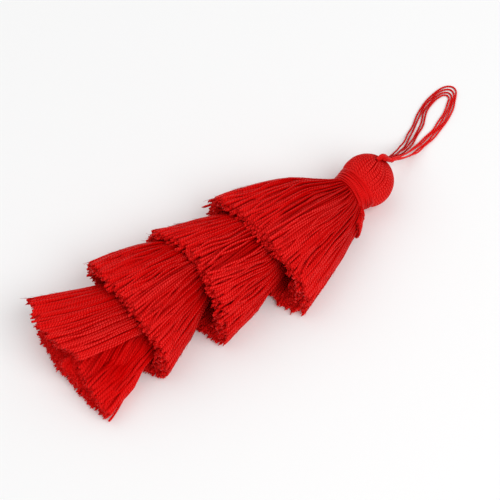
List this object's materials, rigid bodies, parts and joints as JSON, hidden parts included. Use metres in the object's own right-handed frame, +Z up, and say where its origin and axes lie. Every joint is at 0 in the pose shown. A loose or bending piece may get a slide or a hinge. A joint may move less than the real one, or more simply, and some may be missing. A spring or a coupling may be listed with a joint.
{
  "type": "layered thread tassel",
  "caption": "Layered thread tassel with a round bound head, stacked flared skirts of cut threads and a thin hanging loop, laid on a flat surface.",
  "frame": {"origin": "middle of the tassel body's footprint, on the surface it lies on, without the loop", "axes": "+X along the body from the tail to the head, +Y to the far side, +Z up from the surface"},
  "size_m": [0.1245, 0.0358, 0.0153],
  "materials": {
    "hank_thread": "soft twisted thread with a slight silky sheen",
    "binding_thread": "the same thread, wound tight",
    "loop_thread": "the same thread, two-ply, loose"
  },
  "bodies": {
    "root": {"tassel_head": "hank_thread", "skirt_2": "hank_thread", "skirt_3": "hank_thread", "skirt_4": "hank_thread", "neck_binding": "binding_thread", "crown_knot": "binding_thread", "loop_thread_1": "loop_thread", "loop_thread_2": "loop_thread", "loop_thread_3": "loop_thread", "loop_thread_4": "loop_thread"}
  },
  "joints": []
}
